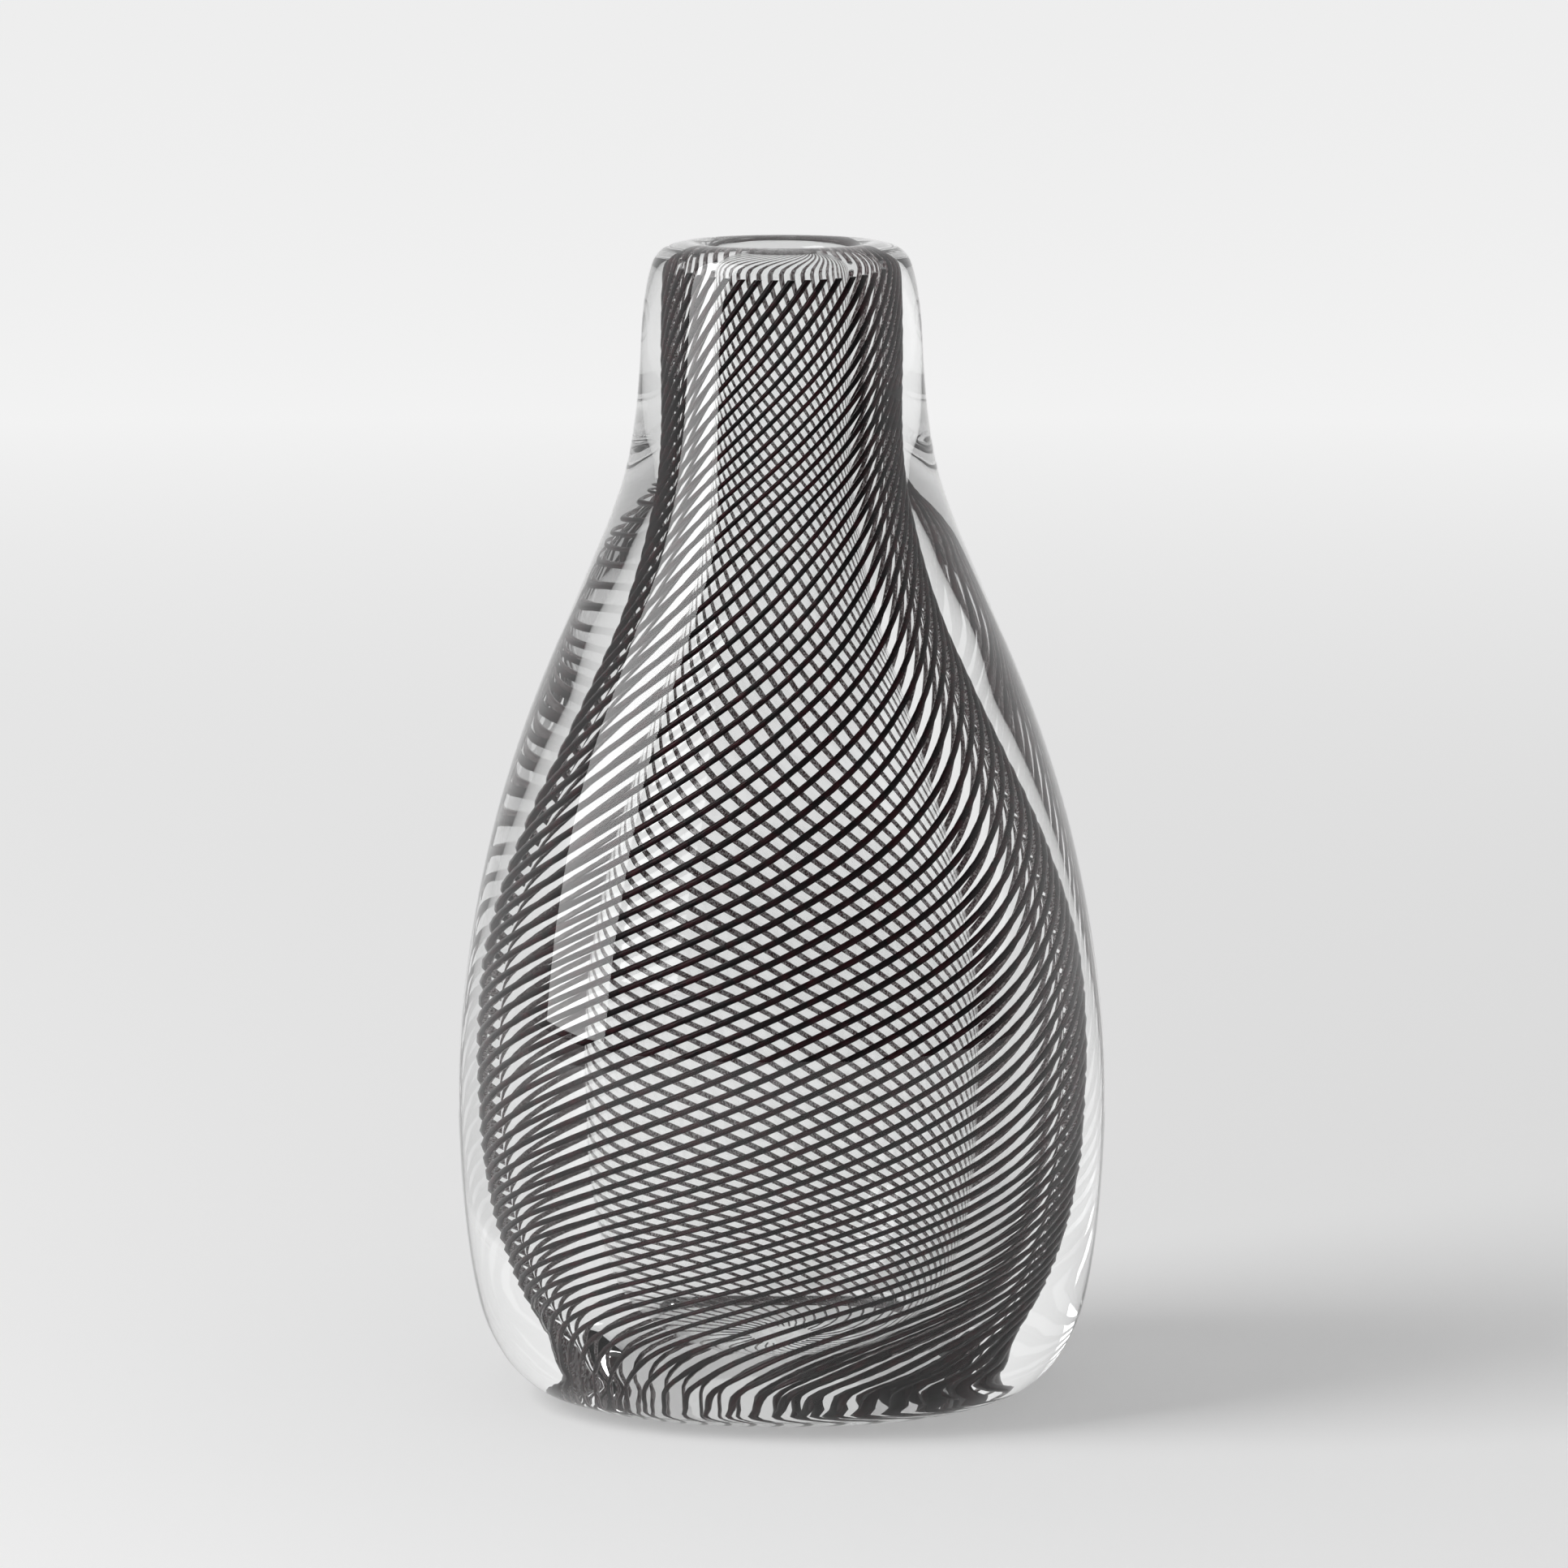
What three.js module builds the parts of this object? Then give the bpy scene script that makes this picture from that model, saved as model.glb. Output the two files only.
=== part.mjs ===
// A heavy bottle-shaped vase of cased glass, blown and cooled as three layers: a thin clear
// lining, thirty-four dark canes wound round it, and a thick clear casing gathered over both.
import * as THREE from 'three';

// Driving dimensions, in millimetres. Z is up and the vase stands on z = 0.
const HEIGHT = 209.2;
const MOUTH_RADIUS = 12.4;
const MOUTH_EDGE = 206.9;
const LINING_TOP = 204.2;
const CAVITY_FLOOR = 8;
const LINING_WALL = 1.0;
const CANE_INNER = 2.1;
const CANE_OUTER = 3.0;
const CASING_BORE = 3.6;
const LIP_GAP = 0.4;

// The body is pressed a little flat from front to back: its depth is this share of its width.
const DEPTH_SHARE = 0.9;
const FLAT_BELOW = 110;
const ROUND_ABOVE = 165;
const SQUARENESS = 0.25;

// Canes: how many, and how many of them pass one spot, counted along the wall from the mouth.
const CANES = 34;
const CANES_PASSED = [
  [0, -1], [18, 4], [47, 13], [79, 21], [109, 28], [136, 36], [160, 44], [176, 51], [188, 57],
  [200, 62], [216, 65.5],
];
const FIRST_CANE_ANGLE = -90;
const CANE_END_RADIUS = 7;
const CANE_WIDTH = [[0, 1.1], [22, 0.75], [55, 0.9], [105, 1.25], [150, 1.0], [180, 0.85], [216, 0.45]];
const TURN_PER_STEP = 22;
const LONGEST_STEP = 14;

// Outlines as [half width, height]. Each is a smooth curve through its points.
const OUTSIDE = [
  [34.5, 0], [43.2, 2], [47.7, 5.1], [51.6, 10], [54.9, 18], [57.2, 32], [58.4, 50], [58.2, 65],
  [56.6, 80], [54, 95], [50.3, 110], [45.3, 125], [39.2, 140], [35, 150], [30.8, 160],
  [27.6, 170], [25.8, 182], [24.9, 196], [23.6, 204], [21.6, 208], [17.2, HEIGHT],
  [13.6, 208.5], [MOUTH_RADIUS, MOUTH_EDGE],
];
const CAVITY = [
  [12.4, LINING_TOP], [12.4, 190], [12.4, 175], [12.9, 165], [14, 156], [15.8, 146], [18.4, 136],
  [22.5, 124], [26.8, 112], [30.6, 100], [33.4, 88], [35.2, 77], [36, 65], [35.9, 54],
  [35.2, 42], [33.6, 31], [30.5, 21], [25, 13.5], [15, 9], [0, CAVITY_FLOOR],
];

const SHELL_SIDES = 36;
const OUTSIDE_RINGS = 34;
const CAVITY_RINGS = 24;

const clearGlass = new THREE.MeshStandardMaterial({
  name: 'clear_glass', color: 0xe8eeee, roughness: 0.03, metalness: 0, transparent: true, opacity: 0.25,
});
const amethystGlass = new THREE.MeshStandardMaterial({
  name: 'amethyst_glass', color: 0x1a070b, roughness: 0.12, metalness: 0,
});

function curveThrough(points) {
  return new THREE.CatmullRomCurve3(points.map(([r, z]) => new THREE.Vector3(r, z, 0)), false, 'centripetal');
}

// Straight-line reading of a list of [place, value] pairs.
function readAt(pairs, place) {
  const last = pairs[pairs.length - 1];
  if (place >= last[0]) return last[1];
  const i = Math.max(1, pairs.findIndex(([at]) => at > place));
  const [a, b] = [pairs[i - 1], pairs[i]];
  return a[1] + (b[1] - a[1]) * (place - a[0]) / (b[0] - a[0]);
}

// Smooth reading of the canes passed, so that a cane has no kink where the winding changes.
const windingCurve = new THREE.CatmullRomCurve3(
  CANES_PASSED.map(([s, count]) => new THREE.Vector3(s, count, 0)), false, 'centripetal');
const winding = windingCurve.getPoints(400).map((p) => [p.x, p.y]);

// Share of the full flattening at a height: none in the neck, all of it in the belly.
function flattening(z) {
  return 1 - THREE.MathUtils.smoothstep(z, FLAT_BELOW, ROUND_ABOVE);
}

const outsideByHeight = curveThrough(OUTSIDE).getPoints(500)
  .slice(0, 450).map((p) => [p.y, p.x]);

// How much nearer the middle every layer lies at the front and back than at the sides.
function pressedIn(z) {
  return (1 - DEPTH_SHARE) * flattening(z) * readAt(outsideByHeight, z);
}

// Outside wall: a rounded oblong, wider than it is deep.
function onOutside(radius, z, angle) {
  const share = flattening(z);
  const power = 2 + SQUARENESS * share;
  const depth = 1 - (1 - DEPTH_SHARE) * share;
  const c = Math.cos(angle);
  const s = Math.sin(angle);
  const reach = (Math.abs(c) ** power + Math.abs(s / depth) ** power) ** (-1 / power);
  return new THREE.Vector3(radius * reach * c, radius * reach * s, z);
}

// Layers inside: ellipses that keep the wall equally thick all round.
function onLayer(radius, z, angle) {
  const pressed = pressedIn(z) * Math.min(1, radius / 20);
  return new THREE.Vector3(radius * Math.cos(angle), (radius - pressed) * Math.sin(angle), z);
}

// Points along the cavity wall, from mouth to floor, moved outwards by a wall thickness.
function cavityOffset(distance, count) {
  const curve = curveThrough(CAVITY);
  const length = curve.getLength();
  const points = [];
  for (let i = 0; i <= count; i += 1) {
    points.push({ ...offsetPoint(curve, i / count, distance), along: length * i / count });
  }
  return points;
}

function offsetPoint(curve, share, distance) {
  const p = curve.getPointAt(share);
  const t = curve.getTangentAt(share);
  return { r: Math.max(0, p.x - t.y * distance), z: p.y + t.x * distance };
}

// A lathe shape whose round sections are then reshaped by a layer's own section.
function turned(profile, section) {
  const lathe = new THREE.LatheGeometry(profile.map(({ r, z }) => new THREE.Vector2(r, z)), SHELL_SIDES);
  lathe.rotateX(Math.PI / 2);
  const position = lathe.attributes.position;
  const stride = profile.length;
  for (let i = 0; i < position.count; i += 1) {
    const { r, z, layer } = profile[i % stride];
    const angle = Math.atan2(position.getY(i), position.getX(i));
    const place = (layer ?? section)(r, z, angle);
    position.setXYZ(i, place.x, place.y, place.z);
  }
  lathe.computeVertexNormals();
  return lathe;
}

// The thick clear casing: foot, wall, rounded lip, and the bore that holds canes and lining.
function casing() {
  const outside = curveThrough(OUTSIDE).getSpacedPoints(OUTSIDE_RINGS)
    .map((p) => ({ r: p.x, z: p.y, layer: onOutside }));
  outside[0].z = 0;
  const lipUnderside = LINING_TOP + LIP_GAP;
  const bore = cavityOffset(CASING_BORE, CAVITY_RINGS);
  bore[0].z = lipUnderside;
  bore[bore.length - 1].r = 0;
  const profile = [
    { r: 0, z: 0, layer: onOutside }, ...outside,
    { r: MOUTH_RADIUS, z: lipUnderside, layer: onLayer },
    ...bore.map((p) => ({ ...p, layer: onLayer })),
  ];
  return turned(profile, onOutside);
}

// The thin clear lining: the bubble that the canes were laid on.
function lining() {
  const inside = cavityOffset(0, CAVITY_RINGS);
  const outside = cavityOffset(LINING_WALL, CAVITY_RINGS).reverse();
  inside[inside.length - 1].r = 0;
  outside[0].r = 0;
  return turned([...outside, ...inside], onLayer);
}

// Steps along a cane: short where it turns fast, so that its chords stay in the channel.
function caneSteps() {
  const curve = curveThrough(CAVITY);
  const length = curve.getLength();
  const steps = [];
  let lastTurn = -Infinity;
  let lastAlong = -Infinity;
  for (let along = 0.6; along < length; along += 0.5) {
    const turn = 360 / CANES * readAt(winding, along);
    const { r } = offsetPoint(curve, along / length, CANE_INNER);
    const reach = THREE.MathUtils.clamp(Math.sqrt(36 / Math.max(r, 1)), 0.9, 1.5);
    if (turn - lastTurn >= TURN_PER_STEP * reach || along - lastAlong >= LONGEST_STEP) {
      steps.push({ along, share: along / length, turn });
      lastTurn = turn;
      lastAlong = along;
    }
    if (along > length / 2 && r < CANE_END_RADIUS) break;
  }
  return steps;
}

// One cane: four-sided, flat against the lining and narrower outside, wound down the wall.
function cane(index, curve, steps) {
  const vertices = [];
  for (const { along, share, turn } of steps) {
    const angle = THREE.MathUtils.degToRad(FIRST_CANE_ANGLE + 360 * index / CANES - turn);
    const inner = offsetPoint(curve, share, CANE_INNER);
    const outer = offsetPoint(curve, share, CANE_OUTER);
    const slope = windingSlope(curve, along, inner.r);
    const half = readAt(CANE_WIDTH, along) / 2 / slope / inner.r;
    vertices.push(
      onLayer(inner.r, inner.z, angle - half), onLayer(inner.r, inner.z, angle + half),
      onLayer(outer.r, outer.z, angle + half * 0.6), onLayer(outer.r, outer.z, angle - half * 0.6),
    );
  }
  return caneGeometry(vertices, steps.length);
}

// Sine of the angle that a cane makes with the level, so that its width is measured across it.
function windingSlope(curve, along, radius) {
  const passed = readAt(winding, along + 1) - readAt(winding, along - 1);
  const sideways = radius * passed * Math.PI * 2 / CANES / 2;
  return 1 / Math.hypot(1, sideways);
}

function caneGeometry(vertices, rings) {
  const faces = [];
  for (let ring = 0; ring + 1 < rings; ring += 1) {
    for (let side = 0; side < 4; side += 1) {
      const a = ring * 4 + side;
      const b = ring * 4 + (side + 1) % 4;
      faces.push(a, b, a + 4, b, b + 4, a + 4);
    }
  }
  const end = (rings - 1) * 4;
  faces.push(0, 2, 1, 0, 3, 2, end, end + 1, end + 2, end, end + 2, end + 3);
  const geometry = new THREE.BufferGeometry();
  geometry.setAttribute('position', new THREE.Float32BufferAttribute(vertices.flatMap((v) => [v.x, v.y, v.z]), 3));
  geometry.setIndex(faces);
  geometry.computeVertexNormals();
  return geometry;
}

function named(name, geometry, material) {
  const mesh = new THREE.Mesh(geometry, material);
  mesh.name = name;
  return mesh;
}

const vase = new THREE.Group();
vase.add(named('outer_casing', casing(), clearGlass));
vase.add(named('inner_lining', lining(), clearGlass));
const wall = curveThrough(CAVITY);
const steps = caneSteps();
for (let i = 0; i < CANES; i += 1) {
  const name = `cane_${String(i + 1).padStart(2, '0')}`;
  vase.add(named(name, cane(i, wall, steps), amethystGlass));
}

export default vase;
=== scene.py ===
import bpy, bmesh
from math import atan2, cos, hypot, pi, radians, sin
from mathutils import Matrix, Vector


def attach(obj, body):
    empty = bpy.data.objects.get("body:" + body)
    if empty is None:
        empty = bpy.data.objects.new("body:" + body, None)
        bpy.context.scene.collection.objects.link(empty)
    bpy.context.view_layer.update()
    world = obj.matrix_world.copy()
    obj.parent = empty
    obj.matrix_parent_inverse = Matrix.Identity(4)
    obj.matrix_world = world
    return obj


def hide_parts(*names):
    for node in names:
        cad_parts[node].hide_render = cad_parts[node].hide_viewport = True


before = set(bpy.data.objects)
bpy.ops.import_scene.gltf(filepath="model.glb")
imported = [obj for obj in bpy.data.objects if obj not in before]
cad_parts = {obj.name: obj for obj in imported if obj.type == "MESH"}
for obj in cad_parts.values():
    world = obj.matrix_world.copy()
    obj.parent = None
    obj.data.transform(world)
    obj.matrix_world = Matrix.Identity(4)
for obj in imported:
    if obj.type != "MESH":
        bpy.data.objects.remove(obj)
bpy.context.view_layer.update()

# Camera: a long lens a metre and a half in front of the vase, a little above its mouth,
# looking down so that the foot shows as a shallow oval.
camera_data = bpy.data.cameras.new("camera")
camera_data.sensor_width = 36
camera_data.lens = 188.7
camera_data.clip_end = 100
camera = bpy.data.objects.new("camera", camera_data)
camera.location = (0.0004, -1.466, 0.3149)
camera.rotation_euler = (radians(90 - 7.9), 0, 0)
bpy.context.scene.collection.objects.link(camera)
bpy.context.scene.camera = camera

# Light: a pale backdrop behind and at the sides, a dark room in front, and one tall softbox at the
# camera's left, which leaves the long pale strip down the side of the neck and body.
def glossy_or_through_glass(nodes, links, rays):
    either = nodes.new("ShaderNodeMath")
    either.operation = "MAXIMUM"
    links.new(rays.outputs["Is Glossy Ray"], either.inputs[0])
    links.new(rays.outputs["Is Transmission Ray"], either.inputs[1])
    return either.outputs[0]


bpy.context.scene.view_settings.view_transform = "Standard"
world = bpy.data.worlds.new("pale_room")
world.use_nodes = True
world_nodes, world_links = world.node_tree.nodes, world.node_tree.links
world_nodes["Background"].inputs["Color"].default_value = (0.87, 0.87, 0.87, 1)
rays = world_nodes.new("ShaderNodeLightPath")
direction = world_nodes.new("ShaderNodeTexCoord")
direction_axes = world_nodes.new("ShaderNodeSeparateXYZ")
dark_in_front = world_nodes.new("ShaderNodeMapRange")
dark_in_front.inputs["From Min"].default_value = -0.4
dark_in_front.inputs["From Max"].default_value = 0.1
dark_in_front.inputs["To Min"].default_value = 0.08
dark_in_front.inputs["To Max"].default_value = 1.0
seen_in_glass = world_nodes.new("ShaderNodeMix")
seen_in_glass.inputs["A"].default_value = 0.35
seen_by_camera = world_nodes.new("ShaderNodeMix")
seen_by_camera.inputs["B"].default_value = 1.0
world_links.new(direction.outputs["Generated"], direction_axes.inputs["Vector"])
world_links.new(direction_axes.outputs["Y"], dark_in_front.inputs["Value"])
world_links.new(glossy_or_through_glass(world_nodes, world_links, rays), seen_in_glass.inputs["Factor"])
world_links.new(dark_in_front.outputs["Result"], seen_in_glass.inputs["B"])
world_links.new(rays.outputs["Is Camera Ray"], seen_by_camera.inputs["Factor"])
world_links.new(seen_in_glass.outputs["Result"], seen_by_camera.inputs["A"])
world_links.new(seen_by_camera.outputs["Result"], world_nodes["Background"].inputs["Strength"])
bpy.context.scene.world = world

softbox_data = bpy.data.lights.new("softbox", "AREA")
softbox_data.shape = "RECTANGLE"
softbox_data.size = 0.8
softbox_data.size_y = 1.5
softbox_data.energy = 19
softbox = bpy.data.objects.new("softbox", softbox_data)
softbox_place = Vector((-1.1, -0.47, 0.75))
softbox.location = softbox_place
softbox.rotation_euler = (Vector((0, 0, 0.12)) - softbox_place).to_track_quat("-Z", "Y").to_euler()
bpy.context.scene.collection.objects.link(softbox)

# Floor: a plain pale table top, matt, that takes the vase's soft shadow. A painted glow, seen only by the
# camera, in reflections and through the glass, is fainter near the vase where the softbox lights it and
# stronger far out.
floor_mesh = bpy.data.meshes.new("floor")
floor_form = bmesh.new()
bmesh.ops.create_grid(floor_form, x_segments=1, y_segments=1, size=15)
floor_form.to_mesh(floor_mesh)
floor_form.free()
floor = bpy.data.objects.new("floor", floor_mesh)
bpy.context.scene.collection.objects.link(floor)
floor_paint = bpy.data.materials.new("pale_floor")
floor_paint.use_nodes = True
floor_surface = floor_paint.node_tree.nodes["Principled BSDF"]
floor_surface.inputs["Base Color"].default_value = (0.7, 0.7, 0.7, 1)
floor_surface.inputs["Roughness"].default_value = 0.9
floor_surface.inputs["Specular IOR Level"].default_value = 0
floor_nodes, floor_links = floor_paint.node_tree.nodes, floor_paint.node_tree.links
# Painted light: an emission that no other surface receives stands in for the softbox light far out and
# lifts the cast shadow.
floor_place = floor_nodes.new("ShaderNodeTexCoord")
far_out = floor_nodes.new("ShaderNodeVectorMath")
far_out.operation = "LENGTH"
painted_glow_by_distance = floor_nodes.new("ShaderNodeMapRange")
painted_glow_by_distance.inputs["From Min"].default_value = 0.1
painted_glow_by_distance.inputs["From Max"].default_value = 1.9
painted_glow_by_distance.inputs["To Min"].default_value = 0.26
painted_glow_by_distance.inputs["To Max"].default_value = 0.64
floor_rays = floor_nodes.new("ShaderNodeLightPath")
floor_seen = floor_nodes.new("ShaderNodeMath")
floor_seen.operation = "MAXIMUM"
painted_floor_glow = floor_nodes.new("ShaderNodeMath")
painted_floor_glow.operation = "MULTIPLY"
floor_surface.inputs["Emission Color"].default_value = (1, 1, 1, 1)
floor_links.new(floor_place.outputs["Object"], far_out.inputs[0])
floor_links.new(far_out.outputs["Value"], painted_glow_by_distance.inputs["Value"])
floor_links.new(glossy_or_through_glass(floor_nodes, floor_links, floor_rays), floor_seen.inputs[0])
floor_links.new(floor_rays.outputs["Is Camera Ray"], floor_seen.inputs[1])
floor_links.new(floor_seen.outputs[0], painted_floor_glow.inputs[0])
floor_links.new(painted_glow_by_distance.outputs["Result"], painted_floor_glow.inputs[1])
floor_links.new(painted_floor_glow.outputs[0], floor_surface.inputs["Emission Strength"])
floor_mesh.materials.append(floor_paint)

# Glass body: casing and lining fused into one clear wall, thickest in the belly.
# It is blown round, then pressed a little flat from front to back below the neck.
MM = 0.001
TURNING_STEPS = 144
LOWEST_CAVITY = 7
CAVITY_SEARCH = 1.5
HEIGHT = 209.2
DEPTH_SHARE = 0.9
SQUARENESS = 0.25
FLAT_BELOW, ROUND_ABOVE = 110, 165
OUTSIDE = [
    (0, 0), (17, 0), (33, 0), (43, 2.2), (47.7, 5.1), (51.6, 10), (54.9, 18), (57.2, 32), (58.4, 50),
    (58.2, 65), (56.6, 80), (54, 95), (50.3, 110), (45.3, 125), (39.2, 140), (35, 150), (30.8, 160),
    (27.6, 170), (25.8, 182), (24.9, 196), (23.6, 204), (21.6, 207.7), (17.2, HEIGHT), (13.6, 208.2),
    (12.4, 206.2),
]
CAVITY = [
    (12.4, 204.2), (12.4, 190), (12.4, 175), (12.9, 165), (14, 156), (15.8, 146), (18.4, 136),
    (22.5, 124), (26.8, 112), (30.6, 100), (33.4, 88), (35.2, 77), (36, 65), (35.9, 54),
    (35.2, 42), (33.6, 31), (30.5, 21), (25, 13.5), (15, 9), (0, 8),
]


def smooth_through(points, steps):
    ends = [points[0], *points, points[-1]]
    path = []
    for a, b, c, d in zip(ends, ends[1:], ends[2:], ends[3:]):
        for i in range(steps):
            t = i / steps
            path.append(tuple(
                0.5 * (2 * q + (r - p) * t + (2 * p - 5 * q + 4 * r - s) * t * t
                       + (3 * q - p - 3 * r + s) * t ** 3)
                for p, q, r, s in zip(a, b, c, d)))
    return [*path, points[-1]]


def read_at(pairs, place):
    for (x0, y0), (x1, y1) in zip(pairs, pairs[1:]):
        if place <= x1:
            return y0 + (y1 - y0) * (place - x0) / max(x1 - x0, 1e-6)
    return pairs[-1][1]


def flattening(z):
    t = min(1, max(0, (z - FLAT_BELOW) / (ROUND_ABOVE - FLAT_BELOW)))
    return 1 - t * t * (3 - 2 * t)


LEAST_BODY_RADIUS = 22
width_by_height = [(z, r) for r, z in OUTSIDE if r > LEAST_BODY_RADIUS]


def on_outside(radius, z, angle):
    share = flattening(z)
    power = 2 + SQUARENESS * share
    depth = 1 - (1 - DEPTH_SHARE) * share
    reach = (abs(cos(angle)) ** power + abs(sin(angle) / depth) ** power) ** (-1 / power)
    return radius * reach * cos(angle) * MM, radius * reach * sin(angle) * MM, z * MM


def on_layer(radius, z, angle):
    pressed = (1 - DEPTH_SHARE) * flattening(z) * read_at(width_by_height, z) * min(1, radius / 20)
    return radius * cos(angle) * MM, (radius - pressed) * sin(angle) * MM, z * MM


def shaded_smooth(name, form, material):
    mesh = bpy.data.meshes.new(name)
    for face in form.faces:
        face.smooth = True
    form.to_mesh(mesh)
    form.free()
    mesh.materials.append(material)
    piece = bpy.data.objects.new(name, mesh)
    bpy.context.scene.collection.objects.link(piece)
    return piece


outer_path = smooth_through(OUTSIDE, 5)
inner_path = smooth_through(CAVITY, 5)
glass_form = bmesh.new()
rings = [glass_form.verts.new((r, 0, z)) for r, z in [*outer_path, *inner_path]]
for a, b in zip(rings, rings[1:]):
    glass_form.edges.new((a, b))
bmesh.ops.spin(glass_form, geom=[*glass_form.verts, *glass_form.edges],
               axis=(0, 0, 1), cent=(0, 0, 0), angle=2 * pi, steps=TURNING_STEPS, use_merge=True)
bmesh.ops.remove_doubles(glass_form, verts=glass_form.verts, dist=0.0005)
inner_by_height = sorted((z, r) for r, z in inner_path)
for vert in glass_form.verts:
    radius, z = hypot(vert.co.x, vert.co.y), vert.co.z
    inside = z > LOWEST_CAVITY and radius < read_at(inner_by_height, z) + CAVITY_SEARCH
    vert.co = (on_layer if inside else on_outside)(radius, z, atan2(vert.co.y, vert.co.x))
bmesh.ops.recalc_face_normals(glass_form, faces=glass_form.faces)

clear_glass = bpy.data.materials.new("clear_glass")
clear_glass.use_nodes = True
clear_surface = clear_glass.node_tree.nodes["Principled BSDF"]
clear_surface.inputs["Base Color"].default_value = (0.985, 0.99, 0.988, 1)
clear_surface.inputs["Roughness"].default_value = 0
clear_surface.inputs["IOR"].default_value = 1.5
clear_surface.inputs["Transmission Weight"].default_value = 1
clear_nodes, clear_links = clear_glass.node_tree.nodes, clear_glass.node_tree.links
ripple = clear_nodes.new("ShaderNodeTexNoise")
ripple.inputs["Scale"].default_value = 60
hand_blown = clear_nodes.new("ShaderNodeBump")
hand_blown.inputs["Strength"].default_value = 0.05
hand_blown.inputs["Distance"].default_value = 0.0005
coordinates = clear_nodes.new("ShaderNodeTexCoord")
clear_links.new(coordinates.outputs["Object"], ripple.inputs["Vector"])
clear_links.new(ripple.outputs["Fac"], hand_blown.inputs["Height"])
clear_links.new(hand_blown.outputs["Normal"], clear_surface.inputs["Normal"])

glass_body = shaded_smooth("glass_body", glass_form, clear_glass)
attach(glass_body, "root")
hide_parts("outer_casing", "inner_lining")

# Canes: thirty-four drawn rods of near-black amethyst glass, softened and laid down the lining,
# then twisted with it. They thin towards the foot, where they run in to the middle, and the side
# that met the bubble is dusted with tiny seeds of air.
CANES = 34
CANE_DEPTH = 1.6
CANE_THICKNESS = 0.95
FIRST_CANE_ANGLE = -90
CANE_END_RADIUS = 5
SECTION_SIDES = 8
FACES_CAVITY = 0.3
CANES_PASSED = [
    (0, -1), (18, 4), (47, 13), (79, 21), (109, 28), (136, 36), (160, 44), (176, 51), (188, 57),
    (200, 62), (216, 65.5), (223, 66),
]
CANE_WIDTH = [
    (0, 1.1), (22, 0.75), (55, 0.9), (105, 1.25), (150, 1.05), (180, 0.85), (216, 0.45), (223, 0.4),
]

amethyst = bpy.data.materials.new("amethyst_glass")
amethyst.use_nodes = True
amethyst_nodes, amethyst_links = amethyst.node_tree.nodes, amethyst.node_tree.links
amethyst_surface = amethyst_nodes["Principled BSDF"]
amethyst_surface.inputs["Roughness"].default_value = 0.25
amethyst_surface.inputs["Specular IOR Level"].default_value = 0.15
streak = amethyst_nodes.new("ShaderNodeTexNoise")
streak.inputs["Scale"].default_value = 260
streak_colour = amethyst_nodes.new("ShaderNodeValToRGB")
streak_colour.color_ramp.elements[0].position = 0.42
streak_colour.color_ramp.elements[0].color = (0.004, 0.001, 0.002, 1)
streak_colour.color_ramp.elements[1].position = 0.72
streak_colour.color_ramp.elements[1].color = (0.035, 0.004, 0.007, 1)
cane_coordinates = amethyst_nodes.new("ShaderNodeTexCoord")
amethyst_links.new(cane_coordinates.outputs["Object"], streak.inputs["Vector"])
amethyst_links.new(streak.outputs["Fac"], streak_colour.inputs["Fac"])
amethyst_links.new(streak_colour.outputs["Color"], amethyst_surface.inputs["Base Color"])

speckled = amethyst.copy()
speckled.name = "speckled_amethyst"
speckled_nodes, speckled_links = speckled.node_tree.nodes, speckled.node_tree.links
seeds = speckled_nodes.new("ShaderNodeTexNoise")
seeds.inputs["Scale"].default_value = 2600
seeds.inputs["Detail"].default_value = 1
seed_colour = speckled_nodes.new("ShaderNodeValToRGB")
seed_colour.color_ramp.elements[0].position = 0.45
seed_colour.color_ramp.elements[0].color = (0.11, 0.065, 0.07, 1)
seed_colour.color_ramp.elements[1].position = 0.6
seed_colour.color_ramp.elements[1].color = (0.6, 0.56, 0.56, 1)
seed_coordinates = speckled_nodes.new("ShaderNodeTexCoord")
speckled_links.new(seed_coordinates.outputs["Object"], seeds.inputs["Vector"])
speckled_links.new(seeds.outputs["Fac"], seed_colour.inputs["Fac"])
speckled_links.new(seed_colour.outputs["Color"], speckled_nodes["Principled BSDF"].inputs["Base Color"])

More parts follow.
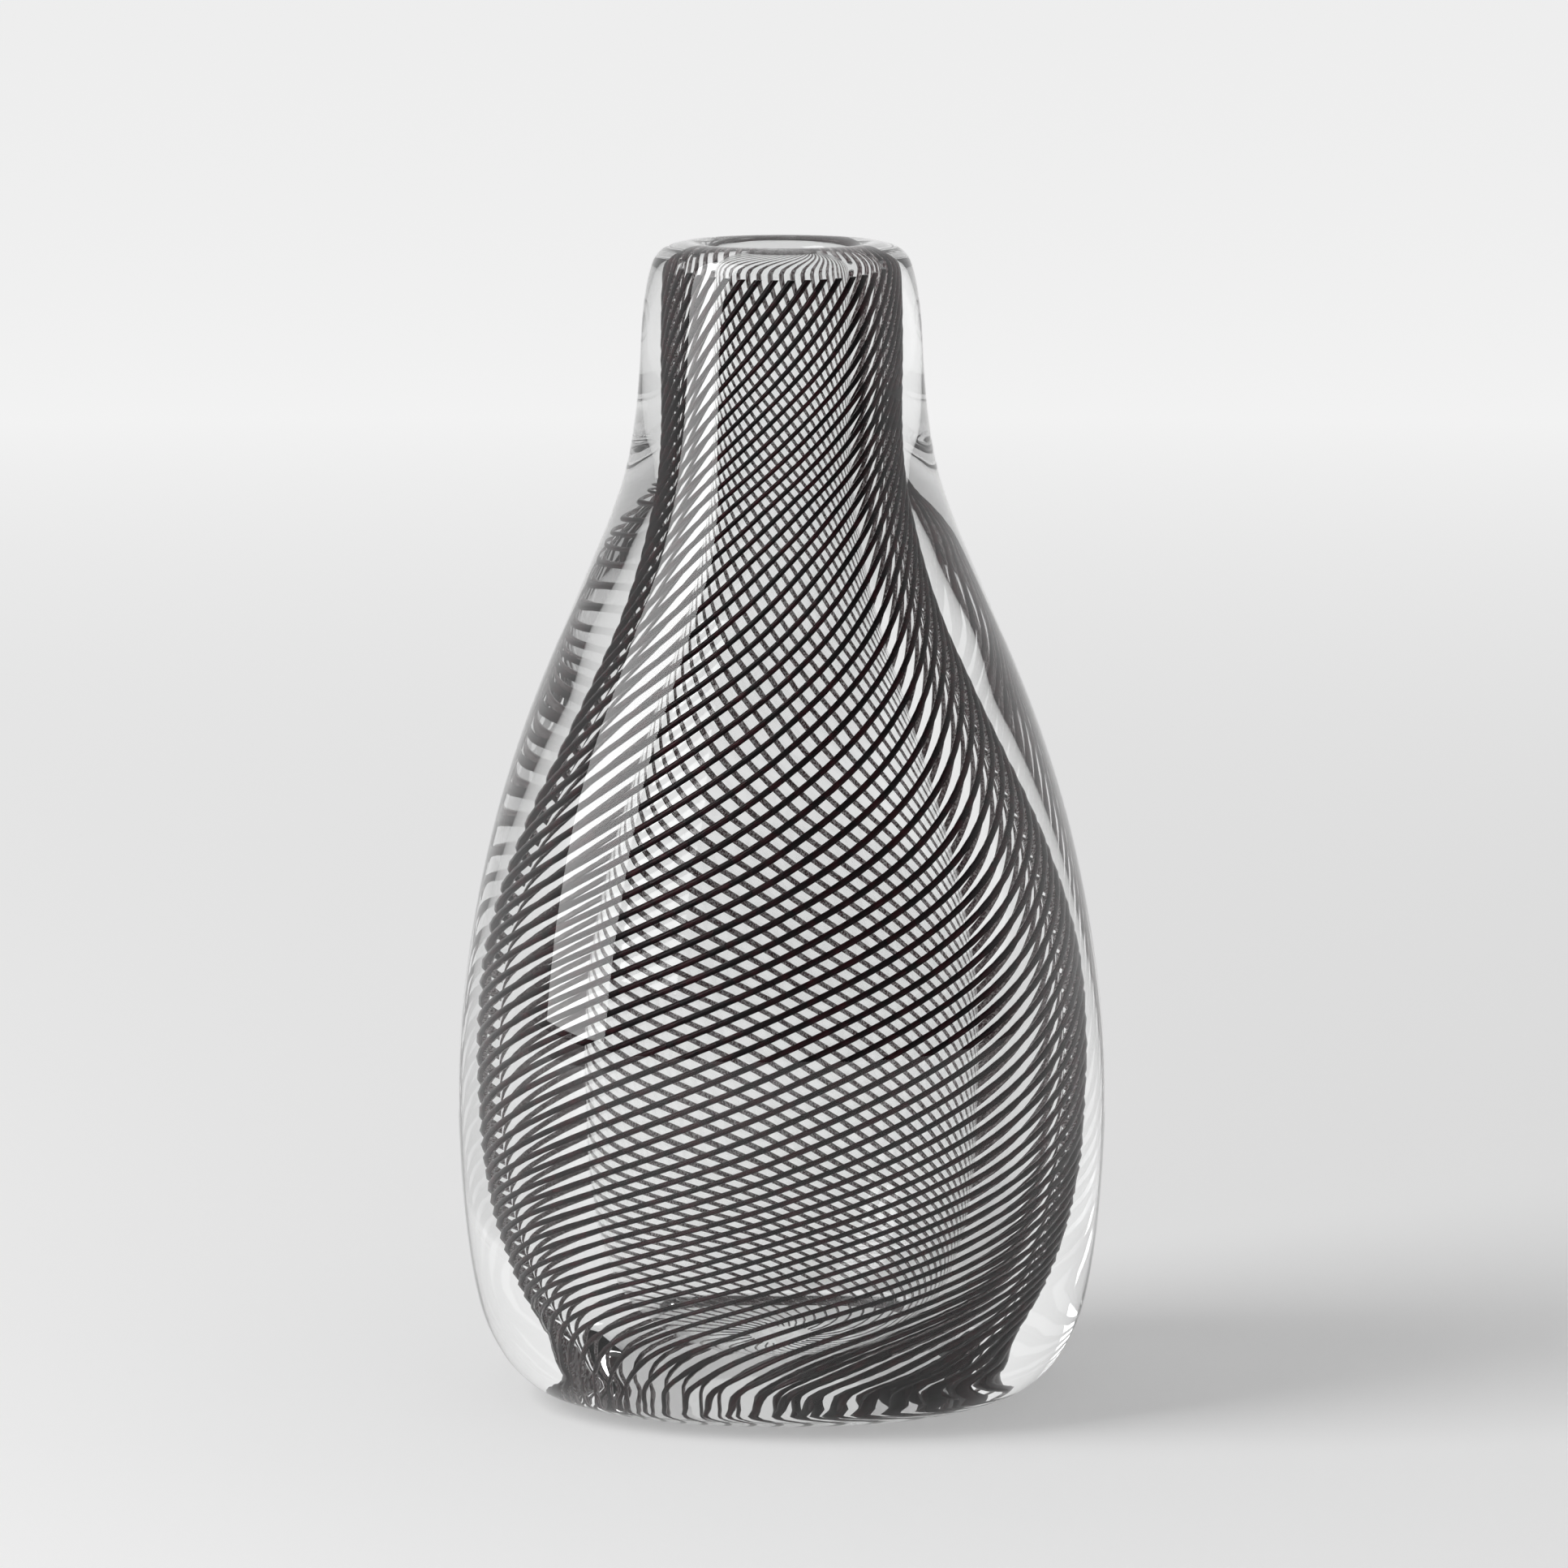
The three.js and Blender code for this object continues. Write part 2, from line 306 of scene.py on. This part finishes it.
wall = [(r, z, 0.0) for r, z in smooth_through(CAVITY, 6)]
for i in range(1, len(wall)):
    step = hypot(wall[i][0] - wall[i - 1][0], wall[i][1] - wall[i - 1][1])
    wall[i] = (wall[i][0], wall[i][1], wall[i - 1][2] + step)
winding = smooth_through(CANES_PASSED, 20)
for index in range(CANES):
    cane_form = bmesh.new()
    ring = bmesh.ops.create_circle(cane_form, cap_ends=True, segments=SECTION_SIDES, radius=1)["verts"]
    for i in range(1, len(wall)):
        r, z, along = wall[i]
        dr, dz = r - wall[i - 1][0], z - wall[i - 1][1]
        length = hypot(dr, dz)
        if along > 100 and r < CANE_END_RADIUS:
            break
        out_r, out_z = -dz / length, dr / length
        turn = 2 * pi / CANES * read_at(winding, along)
        passed = read_at(winding, along + 1) - read_at(winding, along - 1)
        lean = hypot(1, r * passed * pi / CANES)
        if i > 1:
            edges = {e for v in ring for e in v.link_edges if e.other_vert(v) in ring}
            grown = bmesh.ops.extrude_edge_only(cane_form, edges=list(edges))["geom"]
            new = [v for v in grown if isinstance(v, bmesh.types.BMVert)]
            ring = [next(n for n in new if any(e.other_vert(n) is v for e in n.link_edges)) for v in ring]
        middle = radians(FIRST_CANE_ANGLE + 360 * index / CANES) - turn
        half_width = read_at(CANE_WIDTH, along) / 2 * lean
        for k, vert in enumerate(ring):
            corner = 2 * pi * k / SECTION_SIDES
            depth = CANE_DEPTH + CANE_THICKNESS / 2 * sin(corner)
            at_r, at_z = r + out_r * depth, z + out_z * depth
            vert.co = on_layer(at_r, at_z, middle + half_width * cos(corner) / at_r)
    bmesh.ops.contextual_create(cane_form, geom=[*ring, *{e for v in ring for e in v.link_edges
                                                          if e.other_vert(v) in ring}])
    bmesh.ops.recalc_face_normals(cane_form, faces=cane_form.faces)
    for face in cane_form.faces:
        face_middle = face.calc_center_median()
        inward = Vector((-face_middle.x, -face_middle.y, 0)).normalized()
        if face.normal.dot(inward) > FACES_CAVITY:
            face.material_index = 1
    node = f"cane_{index + 1:02d}"
    cane = shaded_smooth(f"twisted_{node}", cane_form, amethyst)
    cane.data.materials.append(speckled)
    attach(cane, "root")
    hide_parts(node)
